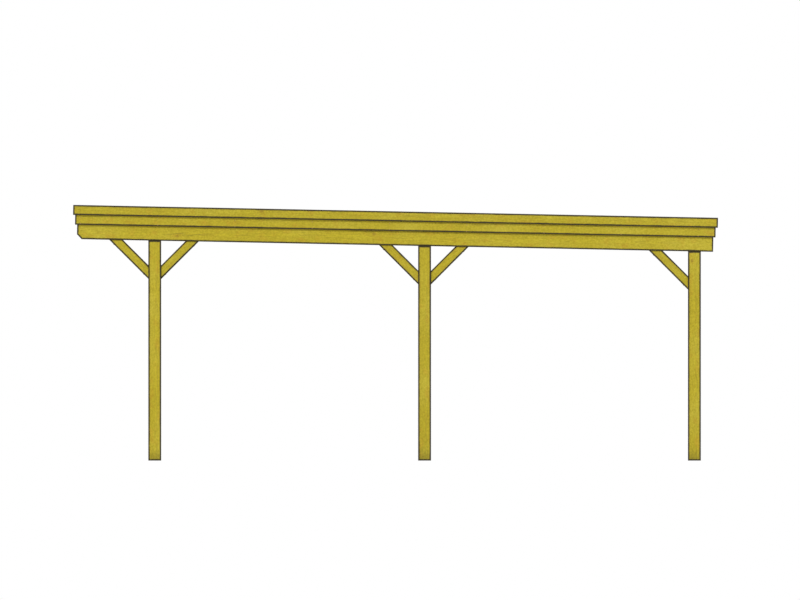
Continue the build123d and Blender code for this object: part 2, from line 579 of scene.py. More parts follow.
    def set_nails(self, space: LogSpace) -> Signal:
        """Nails punched below the surface, in pairs, whose holes are painted dark as painted shade.

        The way along the grain to the nearest pair is |fraction(x / p + 1/2) - 1/2| * p, with x from the
        first pair and p the pitch. The way across it is ||edge - row| - gauge|.

        Args:
            space: the timber's axes.

        Returns:
            1 within a nail's radius, and 0 outside it.
        """
        pairs = (space.along - self.nail_start) / self.nail_pitch + 0.5
        lengthwise = abs(pairs.fraction() - 0.5) * self.nail_pitch
        crosswise = abs(space.edge - self.nail_row) - self.nail_gauge
        return lengthwise.hypotenuse(crosswise).step(self.nail_radius, self.nail_radius * self.nail_core)

    def dress(self, timber: Timber) -> None:
        """Gives one timber this finish."""
        dress(timber.node, self.material(timber))

    def material(self, timber: Timber) -> bpy.types.Material:
        """Material of one timber, as a solid pattern in its own log.

        Args:
            timber: the timber.

        Returns:
            The material, named as the timber.
        """
        graph = Paint(timber.node)
        space = LogSpace(graph, timber)
        knot, halo = self.knots(space)
        ring = self.rings(space, halo)
        crack = self.cracks(space)
        end = space.end_grain()
        fibre, streak, mottle = (space.swing(waves) for waves in (FIBRES, STREAKS, MOTTLE))

        colour = graph.mix(ring * self.ring_share, self.early, self.late)
        for stain in self.stains:
            colour = stain.over(space, colour)
        tone = fibre * self.fibre_contrast + streak * self.streak_contrast + mottle * self.mottle_contrast
        tone = tone + (1.0 + self.timber_contrast * math.sin(timber.seed))
        pale = tone + mottle * self.mottle_paling
        colour = graph.mix(1.0, colour, graph.vector(tone, tone, pale), "MULTIPLY")
        colour = graph.mix(halo * self.halo_depth, colour, AMBER)
        colour = graph.mix(knot * self.knot_depth, colour, self.knot)
        colour = graph.mix(end * (ring * self.end_ring_depth + self.end_depth), colour, self.end_tone)
        # Dark line drawn along every arris, like an outline.
        colour = graph.mix(self.arris(space, end), colour, self.soil_and_shade)
        colour = graph.mix(crack, colour, self.soil_and_shade)
        height = fibre * self.fibre_height + ring * self.ring_height
        height = height + knot * self.knot_height - crack * self.crack_sink
        if self.splash_height:
            level = graph.dot(graph.place(), tuple(UP)) + streak * self.splash_height
            splash = level.step(self.splash_height, 0.0) * self.splash_depth
            colour = graph.mix(splash, colour, self.soil_and_shade)
        if self.nail_pitch:
            nail = self.set_nails(space)
            # Painted shade in the punched nail holes: dark dots where the geometry has no hole.
            colour = graph.mix(nail * self.nail_hole_shade, colour, self.soil_and_shade)
            height = height - nail * self.nail_sink
        roughness = self.roughness + end * self.end_roughness
        return graph.surface({
            "Base Color": colour,
            "Roughness": roughness - ring * self.ring_polish + fibre * self.fibre_roughness,
            "Normal": graph.bump(height, self.relief),
            "Specular IOR Level": self.specular,
        })


@dataclass(frozen=True)
class RibbedSheet:
    """Translucent, lightly smoked plastic, with dust on it and green growth in its pans at the low end."""

    tint: Colour = srgb(198, 204, 204)
    dust: Colour = srgb(148, 142, 118)
    growth: Colour = srgb(98, 106, 62)
    cover: float = 0.40
    dust_cover: float = 0.30
    growth_cover: float = 0.45
    dust_depth: float = 0.6
    growth_depth: float = 0.7
    crest_dust: float = 0.35
    pan_levels: Pair = (0.008, 0.003)
    streak_waves: Pair = (1.2, 55.0)
    streak_levels: Pair = (0.42, 0.80)
    streak_share: float = 0.6
    patch_waves: Pair = (3.0, 4.0)
    patch_levels: Pair = (0.42, 0.75)
    patch_share: float = 0.4
    growth_levels: Pair = (0.48, 0.72)
    growth_run: Pair = (-1.0, 3.0)
    roughness: float = 0.24
    dulling: float = 0.45
    refraction: float = 1.54

    def material(self, roof: "Roof") -> bpy.types.Material:
        """Material of the sheets.

        Args:
            roof: the roof, for the places of the pans and of the low end.

        Returns:
            The material.
        """
        graph = Paint("ribbed_sheet")
        offset = graph.offset(roof.middle)
        along, across, height = (graph.dot(offset, tuple(axis)) for axis in roof.axes)
        pan = height.step(*self.pan_levels)
        streaks, patches = (
            graph.noise(graph.vector(along * lengthwise, across * crosswise, 0.0))
            for lengthwise, crosswise in (self.streak_waves, self.patch_waves)
        )
        dust = streaks.step(*self.streak_levels) * self.streak_share
        dust = dust + patches.step(*self.patch_levels) * self.patch_share
        dust = dust * (self.crest_dust + pan * (1.0 - self.crest_dust))
        growth = streaks.step(*self.growth_levels) * pan * along.step(*self.growth_run)
        colour = graph.mix(dust * self.dust_depth, self.tint, self.dust)
        colour = graph.mix(growth * self.growth_depth, colour, self.growth)
        solid = dust * self.dust_cover + growth * self.growth_cover
        return graph.surface({
            "Base Color": colour,
            "Roughness": self.roughness + dust * self.dulling,
            "Alpha": self.cover + solid * (1.0 - self.cover),
            "IOR": self.refraction,
        })


@dataclass(frozen=True)
class GutterPlastic:
    """Grey gutter plastic with water marks and dust on what looks up."""

    body: Colour = srgb(148, 151, 153)
    mark: Colour = srgb(150, 144, 122)
    upward_levels: Pair = (0.4, 0.9)
    cloud_waves: float = 7.0
    cloud_levels: Pair = (0.4, 0.7)
    cloud_share: float = 0.2
    upward_share: float = 0.6
    speck_waves: float = 160.0
    speck_levels: Pair = (0.6, 0.7)
    speck_share: float = 0.2
    roughness: float = 0.42
    dulling: float = 0.3
    relief: float = 0.0002

    def material(self) -> bpy.types.Material:
        """Material of the gutter.

        Returns:
            The material.
        """
        graph = Paint("gutter_plastic")
        upward = graph.facing(UP).step(*self.upward_levels)
        cloud = graph.noise(graph.place(), 3.0, self.cloud_waves)
        speck = graph.noise(graph.place(), 2.0, self.speck_waves)
        marks = cloud.step(*self.cloud_levels) * (self.cloud_share + upward * self.upward_share)
        marks = marks + speck.step(*self.speck_levels) * self.speck_share
        return graph.surface({
            "Base Color": graph.mix(marks, self.body, self.mark),
            "Roughness": self.roughness + marks * self.dulling,
            "Normal": graph.bump(speck, self.relief),
        })


class Metal(Enum):
    """Metals of the fixings."""

    ZINC = "galvanised steel"
    YELLOW_ZINC = "yellow-passivated steel"
    STAINLESS = "stainless steel"


METAL_TONES = {  # bright colour, dull colour and roughness
    Metal.ZINC: (srgb(184, 188, 192), srgb(134, 139, 145), 0.42),
    Metal.YELLOW_ZINC: (srgb(206, 176, 104), srgb(164, 132, 66), 0.34),
    Metal.STAINLESS: (srgb(200, 200, 196), srgb(152, 152, 150), 0.28),
}


@dataclass(frozen=True)
class FixingMetal:
    """Small metal parts: a bright colour and a dull one, mixed by crystal spangles and a thin film."""

    metal: Metal
    crystal_waves: float = 140.0
    crystal_share: float = 0.5
    film_waves: float = 60.0
    film_levels: Pair = (0.35, 0.7)
    film_share: float = 0.5
    metallic: float = 0.9
    dulling: float = 0.2
    relief: float = 0.00005

    def material(self) -> bpy.types.Material:
        """Material of the metal.

        Returns:
            The material.
        """
        bright, dull, roughness = METAL_TONES[self.metal]
        graph = Paint(self.metal.value.replace(" ", "_"))
        _, crystal = graph.cells(graph.place(), self.crystal_waves)
        film = graph.noise(graph.place(), 3.0, self.film_waves)
        share = crystal * self.crystal_share + film.step(*self.film_levels) * self.film_share
        return graph.surface({
            "Base Color": graph.mix(share, bright, dull),
            "Metallic": self.metallic,
            "Roughness": roughness + share * self.dulling,
            "Normal": graph.bump(film, self.relief),
        })


@dataclass(frozen=True)
class RubberAndDriveShade:
    """Sealing rubber, and the painted shade in the shallow drives of screws."""

    body: Colour = srgb(40, 40, 40)
    bloom: Colour = srgb(92, 90, 84)
    film_waves: float = 220.0
    film_levels: Pair = (0.4, 0.8)
    bloom_share: float = 0.4
    roughness: float = 0.7
    dulling: float = 0.2

    def material(self) -> bpy.types.Material:
        """Material of the rubber.

        Returns:
            The material.
        """
        graph = Paint("rubber_and_drive_shade")
        film = graph.noise(graph.place(), 2.0, self.film_waves)
        colour = graph.mix(film.step(*self.film_levels) * self.bloom_share, self.body, self.bloom)
        return graph.surface({"Base Color": colour, "Roughness": self.roughness + film * self.dulling})


@dataclass
class Shell:
    """One closed shape: its points, its faces by their number of corners, and the faces' finish numbers."""

    points: np.ndarray
    faces: list[np.ndarray]
    finishes: list[np.ndarray]

    def repeated(self, places: np.ndarray, axes: np.ndarray) -> "Shell":
        """Copies of the shape: each point goes to place + x * X + y * Y + z * Z.

        Args:
            places: k by 3, where the shape's own origin goes.
            axes: k by 3 by 3, with the directions X, Y and Z of each copy as rows.

        Returns:
            One shape with all the copies.
        """
        count = len(places)
        points = np.einsum("pi,kij->kpj", self.points, axes) + places[:, None, :]
        shift = (np.arange(count) * len(self.points))[:, None, None]
        faces = [(part[None] + shift).reshape(-1, part.shape[1]) for part in self.faces]
        return Shell(points.reshape(-1, 3), faces, [np.tile(part, count) for part in self.finishes])


@dataclass(frozen=True)
class Head:
    """Head of a screw or nail, turned about Z, which looks out of the surface.

    Attributes:
        metal: what it is made of.
        profile: radius r, height h and lobe share l of each ring, from the underside round to the top.
        finishes: finish number of each band between two rings, 0 for metal and 1 for sealing rubber
        and for the painted shade in a drive. The ends take the first and the last.
        sides: points on each ring.
    """

    metal: Metal
    profile: tuple[tuple[float, float, float], ...]
    finishes: tuple[int, ...]
    sides: int = 12

    def shape(self) -> Shell:
        """Closed shape of the head.

        The point of a ring at angle a lies at radius r * (1 + l * cos(6 * a)) and height h. On 12 sides that
        makes a hexagon or a six-pointed star. The first and the last ring close on a point at their height.

        Returns:
            The shape.
        """
        sides = self.sides
        radius, height, lobe = np.array(self.profile, dtype=float).T[:, :, None]
        angle = np.arange(sides) * 2 * np.pi / sides
        reach = radius * (1 + lobe * np.cos(LOBES * angle))
        rings = np.stack([reach * np.cos(angle), reach * np.sin(angle), height + 0 * angle], axis=-1)
        poles = np.array([[0, 0, height[0, 0]], [0, 0, height[-1, 0]]])
        count = len(self.profile)
        ring, step = np.meshgrid(np.arange(count - 1) * sides, np.arange(sides), indexing="ij")
        after = (step + 1) % sides
        quads = np.stack([ring + step, ring + after, ring + sides + after, ring + sides + step], axis=-1)
        bottom, top, last = count * sides, count * sides + 1, (count - 1) * sides
        step, after = step[0], after[0]
        triangles = np.concatenate([
            np.stack([0 * step + bottom, after, step], axis=-1),
            np.stack([0 * step + top, last + step, last + after], axis=-1),
        ])
        points = np.concatenate([rings.reshape(-1, 3), poles])
        bands = (self.finishes, (self.finishes[0], self.finishes[-1]))
        return Shell(points, [quads.reshape(-1, 4), triangles], [np.repeat(band, sides) for band in bands])


# The last band and the top of the head are its drive, 0.4 mm deep, painted dark as painted shade.
WOOD_SCREW = Head(
    Metal.YELLOW_ZINC,
    (
        (0.0044, -0.0006, 0), (0.0046, 0.0002, 0), (0.0042, 0.0005, 0),
        (0.0020, 0.0005, 0.16), (0.0018, 0.0001, 0.16),
    ),
    (0, 0, 0, 1),
)
# The last band and the top of the head are its drive, 1.9 mm deep, painted dark as painted shade.
WASHER_SCREW = Head(
    Metal.YELLOW_ZINC,
    (
        (0.0088, -0.0004, 0), (0.0088, 0.0012, 0), (0.0050, 0.0027, 0),
        (0.0028, 0.0029, 0.16), (0.0025, 0.0010, 0.16),
    ),
    (0, 0, 0, 1),
)
SEALING_SCREW = Head(
    Metal.STAINLESS,
    (
        (0.0092, -0.0004, 0), (0.0092, 0.0016, 0), (0.0100, 0.0016, 0), (0.0098, 0.0026, 0),
        (0.0060, 0.0037, 0), (0.0045, 0.0037, 0.07), (0.0045, 0.0084, 0.07), (0.0036, 0.0090, 0.03),
    ),
    (1, 0, 0, 0, 0, 0, 0),
)
NAIL = Head(Metal.ZINC, ((0.0030, -0.0004, 0), (0.0030, 0.0006, 0), (0.0017, 0.0012, 0)), (0, 0), 8)


@dataclass(frozen=True)
class Strip:
    """Flat steel strip, bent in its own X and Z plane and rounded at its corners.

    Attributes:
        runs: straight lengths, from corner to corner of its path.
        turns: angles between them, to the left.
        heading: angle of the first run from X towards Z.
        width: width along Y.
        thickness: thickness of the steel, to the left of the path.
        bend: radius of the path's bends.
        corner: radius of the four outer corners.
        rib: how far a pressed rib stands out in the bend.
        rib_width: how wide the rib is.
        rib_reach: how far the rib runs from the bend.
        steps: pieces in each run, bend and rounded end.
    """

    runs: tuple[float, ...]
    turns: tuple[float, ...] = ()
    heading: float = 0.0
    width: float = 0.060
    thickness: float = 0.0025
    bend: float = 0.004
    corner: float = 0.005
    rib: float = 0.0
    rib_width: float = 0.007
    rib_reach: float = 0.022
    steps: int = 4

    def pieces(self) -> tuple[np.ndarray, np.ndarray]:
        """Short pieces of the path, finer towards its two rounded ends.

        Returns:
            Length of each piece, and the angle that it turns by.
        """
        rounding = self.corner * np.diff(1 - np.cos(np.linspace(0, QUARTER_TURN, self.steps)))
        cut = [self.corner, *(self.bend * math.tan(abs(turn) / 2) for turn in self.turns), self.corner]
        lengths, angles = [rounding], [0 * rounding]
        for number, (run, turn) in enumerate(zip(self.runs, (*self.turns, 0.0))):
            straight = run - cut[number] - cut[number + 1]
            lengths += [np.full(self.steps, part / self.steps) for part in (straight, self.bend * turn)]
            angles += [np.zeros(self.steps), np.full(self.steps, turn / self.steps)]
        lengths[-1] = rounding[::-1]
        angles[-1] = 0 * rounding
        return np.concatenate(lengths), np.concatenate(angles)

    def shape(self) -> Shell:
        """Closed shape of the strip.

        The path is the running sum of its pieces, each turned by the angles before it. The half width is
        w - c + sqrt(c^2 - (c - d)^2) at a distance d from an end, and w past the corner c. The rib's height
        is rib * exp(-(y / rib_width)^2) * exp(-(d / rib_reach)^2), with d from the middle of the bend.

        Returns:
            The shape.
        """
        lengths, angles = self.pieces()
        between = self.heading + np.cumsum(angles) - angles / 2
        steps = lengths[:, None] * np.stack([np.cos(between), np.sin(between)], axis=-1)
        path = np.concatenate([np.zeros((1, 2)), np.cumsum(steps, axis=0)])
        along = np.concatenate([[0.0], np.cumsum(lengths)])
        heading = self.heading + np.concatenate([[0.0], np.cumsum(angles)])
        normal = np.stack([-np.sin(heading), np.cos(heading)], axis=-1)
        from_end = np.clip(np.minimum(along, along[-1] - along), 0, self.corner)
        half = self.width / 2 - self.corner + np.sqrt(self.corner**2 - (self.corner - from_end) ** 2)
        share = np.linspace(-1, 1, 2 * self.steps + 1)
        y = half[:, None] * (share * np.sqrt(np.abs(share)))
        bend_middle = np.average(along[1:] - lengths / 2, weights=np.abs(angles)) if self.turns else 0.0
        swell = self.rib * np.exp(-(((along - bend_middle) / self.rib_reach) ** 2))
        rise = swell[:, None] * np.exp(-((y / self.rib_width) ** 2))
        grids = []
        for offset in (self.thickness, 0.0):
            plane = path[:, None, :] + (offset + rise)[..., None] * normal[:, None, :]
            grids.append(np.stack([plane[..., 0], y, plane[..., 1]], axis=-1))
        return plate_shape(*grids)


BRACKET = Strip((0.070, 0.070), (QUARTER_TURN,), -QUARTER_TURN, rib=0.004)
PLATE = Strip((0.200,), thickness=0.002)
STRAP = Strip(
    (0.036, 0.110, 0.036), (QUARTER_TURN, QUARTER_TURN), QUARTER_TURN,
    width=0.025, thickness=0.0015, bend=0.003, corner=0.003,
)


def plate_shape(front: np.ndarray, back: np.ndarray) -> Shell:
    """Closed plate between two grids of points.

    Args:
        front: rows by columns by 3. Its rows crossed with its columns look outwards.
        back: the same grid on the other face.

    Returns:
        The shape: both grids, and one strip of faces round their rims.
    """
    rows, columns = front.shape[:2]
    total = rows * columns
    index = np.arange(total).reshape(rows, columns)
    corners = (index[:-1, :-1], index[1:, :-1], index[1:, 1:], index[:-1, 1:])
    faces = np.stack(corners, axis=-1).reshape(-1, 4)
    rim = np.concatenate([index[:-1, 0], index[-1, :-1], index[:0:-1, -1], index[0, :0:-1]])
    following = np.roll(rim, -1)
    strip = np.stack([rim, rim + total, following + total, following], axis=-1)
    quads = np.concatenate([faces, faces[:, ::-1] + total, strip])
    points = np.concatenate([front.reshape(-1, 3), back.reshape(-1, 3)])
    return Shell(points, [quads], [np.zeros(len(quads), dtype=int)])


def looking(outward: np.ndarray) -> np.ndarray:
    """Axes of shapes whose Z looks outward, each turned a golden angle further about it.

    Args:
        outward: k by 3, unit vectors.

    Returns:
        k by 3 by 3, with the X, Y and Z directions as rows.
    """
    turns = (np.arange(len(outward)) * GOLDEN_ANGLE)[:, None]
    level = np.where(np.abs(outward[:, 2:]) > UPRIGHT, AHEAD, UP)
    side = np.cross(level, outward)
    side /= np.linalg.norm(side, axis=1, keepdims=True)
    other = np.cross(outward, side)
    cos, sin = np.cos(turns), np.sin(turns)
    return np.stack([side * cos + other * sin, other * cos - side * sin, outward], axis=1)


def astride(lines: np.ndarray, gauge: float) -> np.ndarray:
    """Places at the gauge on either side of each line."""
    return np.add.outer(lines, (-gauge, gauge)).reshape(-1)


def new_object(name: str, data: bpy.types.ID) -> bpy.types.Object:
    """Adds an object to the scene.

    Args:
        name: its name.
        data: its mesh, lamp or camera data.

    Returns:
        The object.
    """
    made = bpy.data.objects.new(name, data)
    bpy.context.collection.objects.link(made)
    return made


def new_piece(name: str, shell: Shell, materials: list[bpy.types.Material]) -> None:
    """Adds a shape to the scene as a piece that rides on the carport.

    Args:
        name: name of the piece.
        shell: its shape.
        materials: materials for the finish numbers.
    """
    mesh = bpy.data.meshes.new(name)
    mesh.from_pydata(shell.points.tolist(), [], [face for part in shell.faces for face in part.tolist()])
    mesh.polygons.foreach_set("material_index", np.concatenate(shell.finishes))
    for material in materials:
        mesh.materials.append(material)
    mesh.shade_smooth()
    mesh.set_sharp_from_angle(angle=SHARP_EDGE)
    piece = new_object(name, mesh)
    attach(piece, ROOT)
    log.info("%s: %d faces", name, len(mesh.polygons))


@dataclass(frozen=True)
class BoardRow:
    """One row of fascia boards: its name, its length and width round the outside, and its boards' height."""

    name: str
    length: float
    width: float
    height: float


@dataclass(frozen=True)
class Roof:
    """Directions and shared sizes of the sloping roof.

    A place on it is given by its distance along the fall and across from the roof's middle, and by its height
    over the rafters' tops, square to the roof.
    """

    rafters: int = 9
    rafter_width: float = 0.060
    rafter_height: float = 0.120
    purlin_width: float = 0.120
    purlin_height: float = 0.160
    board_thickness: float = 0.020
    lower: BoardRow = BoardRow("lower", 5.960, 2.960, 0.146)
    upper: BoardRow = BoardRow("upper", 6.000, 3.000, 0.094)
    upstand: float = 0.038
    ribs: int = 42
    ribs_per_sheet: int = 14
    rib_pitch: float = 0.070
    crest_height: float = 0.0195
    lap_rise: float = 0.0018
    end_fixings: int = 7
    end_reach: float = 1.40

    @cached_property
    def along(self) -> np.ndarray:
        """Unit vector down the fall, from the first rafter to the last."""
        return unit(box_middle(f"rafter_{self.rafters}") - box_middle("rafter_1"))

    @cached_property
    def off(self) -> np.ndarray:
        """Unit vector square to the roof."""
        return np.cross(self.along, ACROSS)

    @property
    def axes(self) -> Axes:
        """Directions of timbers down the fall: along, across and off the roof."""
        return self.along, ACROSS, self.off

    @property
    def cross_axes(self) -> Axes:
        """Directions of timbers across the roof: across, along and off it."""
        return ACROSS, self.along, self.off

    @cached_property
    def middle(self) -> np.ndarray:
        """Middle of the roof on the rafters' tops, from the boxes of the upper boards."""
        boards = (box_middle("fascia_upper_right") + box_middle("fascia_upper_left")) / 2
        return boards + self.off * (self.upper.height / 2 - self.upstand)

    @cached_property
    def stations(self) -> np.ndarray:
        """Distances of the rafters' middles along the fall."""
        middles = np.array([box_middle(f"rafter_{number + 1}") for number in range(self.rafters)])
        return (middles - self.middle) @ self.along

    @property
    def end_places(self) -> np.ndarray:
        """Distances across of the fixings in the front and rear boards."""
        return np.linspace(-self.end_reach, self.end_reach, self.end_fixings)

    @property
    def purlin_lines(self) -> np.ndarray:
        """Distances of the purlins' middles across."""
        return np.array([box_middle(f"purlin_{side}")[1] for side in SIDES])

    def points(self, along: Any, across: Any, height: Any) -> np.ndarray:
        """Places on the roof, one for each mix of the given numbers.

        Args:
            along: distances down the fall.
            across: distances to the left.
            height: heights over the rafters' tops.

        Returns:
            n by 3: middle + along * A + across * C + height * O.
        """
        grid = np.meshgrid(*(np.atleast_1d(part) for part in (along, across, height)), indexing="ij")
        s, y, h = (part.reshape(-1, 1) for part in grid)
        return self.middle + s * self.along + y * ACROSS + h * self.off


@dataclass(frozen=True)
class Seeds:
    """Numbers of timbers' patterns: a start, a step for each row and a step for each place in it."""

    start: float
    row_step: float = 0.0
    place_step: float = 0.0

    def at(self, row: int, place: int = 0) -> float:
        """Number of one timber's pattern."""
        return self.start + row * self.row_step + place * self.place_step


POST_SEEDS = Seeds(1.0, 13.1, 4.3)
BRACE_SEEDS = {"ahead": Seeds(71.0, 13.1, 4.3), "behind": Seeds(91.0, 13.1, 4.3)}
PURLIN_SEEDS = Seeds(20.0, 5.3)
RAFTER_SEEDS = Seeds(40.0, place_step=3.7)
BOARD_SEEDS = Seeds(120.0, 17.3, 6.1)


@dataclass
class TimberFrame:
    """Posts, purlins, braces and rafters."""

    roof: Roof
    post_side: float = 0.120
    brace_side: float = 0.090
    purlin_nose: float = 0.045
    heart: Pair = (0.012, -0.009)
    brace_pith: Pair = (0.050, 0.030)
    rafter_pith: Pair = (0.055, 0.020)
    brace_cracks: float = 0.3
    rafter_cracks: float = 0.4
    splash_height: float = 0.14

    def dress_posts(self) -> None:
        """Dresses the posts, whose grain runs upright."""
        half_side = self.post_side / 2
        for row, side, number, place in SPOTS:
            node = f"post_{side}_{place}"
            half = (float(box_middle(node)[2]), half_side, half_side)
            timber = Timber(node, (UP, AHEAD, ACROSS), half, self.heart, POST_SEEDS.at(row, number))
            TreatedTimber(splash_height=self.splash_height).dress(timber)

    def dress_purlins(self) -> None:
        """Dresses the purlins, whose grain runs down the fall."""
        roof = self.roof
        half_length = roof.lower.length / 2 - roof.board_thickness
        half = (half_length, roof.purlin_width / 2, roof.purlin_height / 2)
        for row, side in enumerate(SIDES):
            timber = Timber(f"purlin_{side}", roof.axes, half, self.heart, PURLIN_SEEDS.at(row))
            TreatedTimber(nose=self.purlin_nose).dress(timber)

    def dress_braces(self) -> None:
        """Dresses the braces. Each lies half its side off its box's middle, into the corner over it."""
        half_side = self.brace_side / 2
        for row, side, number, place in SPOTS:
            for end, seeds in BRACE_SEEDS.items():
                node = f"brace_{side}_{place}_{end}"
                if node in BRACES:
                    along, inward = brace_axes(node)
                    axes, half = (along, ACROSS, inward), (brace_half(node), half_side, half_side)
                    timber = Timber(node, axes, half, self.brace_pith, seeds.at(row, number), half_side)
                    TreatedTimber(crack_share=self.brace_cracks).dress(timber)

    def dress_rafters(self) -> None:
        """Dresses the rafters, whose grain runs across."""
        roof = self.roof
        for number in range(1, roof.rafters + 1):
            node = f"rafter_{number}"
            low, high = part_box(node)
            half = ((high[1] - low[1]) / 2, roof.rafter_width / 2, roof.rafter_height / 2)
            timber = Timber(node, roof.cross_axes, half, self.rafter_pith, RAFTER_SEEDS.at(0, number))
            TreatedTimber(crack_share=self.rafter_cracks).dress(timber)

    def build(self) -> None:
        """Dresses every timber of the frame."""
        self.dress_posts()
        self.dress_purlins()
        self.dress_braces()
        self.dress_rafters()
        log.info("timber frame dressed")


@dataclass
class Fascia:
    """Two rows of boards round the roof."""

    roof: Roof
    pith_depth: float = 0.055
    pith_offset: float = 0.015
    cracks: float = 0.15

    def dress_board(self, row: BoardRow, side: str, seed: float) -> None:
        """Dresses one board. Its bark side looks outwards, and upper boards show rows of punched nails.

        Args:
            row: the row that it is in.
            side: the side of the roof that it is on.
            seed: number of its pattern.
        """
        roof = self.roof
        lengthwise = side in SIDES
        length = row.length if lengthwise else row.width
        half = (length / 2, roof.board_thickness / 2, row.height / 2)
        outward = 1 if side in ("left", "rear") else -1
        pith = (-outward * self.pith_depth, self.pith_offset)
        axes = roof.axes if lengthwise else roof.cross_axes
        finish = TreatedTimber(crack_share=self.cracks)
        if row is roof.upper:
            pairs = roof.stations if lengthwise else roof.end_places
            finish = replace(finish, nail_start=float(pairs[0]), nail_pitch=float(pairs[1] - pairs[0]))
        finish.dress(Timber(f"fascia_{row.name}_{side}", axes, half, pith, seed))

    def build(self) -> None:
        """Dresses every board."""
        for level, row in enumerate((self.roof.lower, self.roof.upper)):
            for number, side in enumerate(("right", "rear", "left", "front")):
                self.dress_board(row, side, BOARD_SEEDS.at(level, number))
        log.info("fascia dressed")


@dataclass
class RoofCover:
    """Ribbed sheets and gutter."""

    roof: Roof

    def build(self) -> None:
        """Dresses the sheets and the gutter."""
        sheet = RibbedSheet().material(self.roof)
        for number in range(self.roof.ribs // self.roof.ribs_per_sheet):
            dress(f"roof_sheet_{number + 1}", sheet)
        dress("rain_gutter", GutterPlastic().material())
        log.info("roof cover dressed")


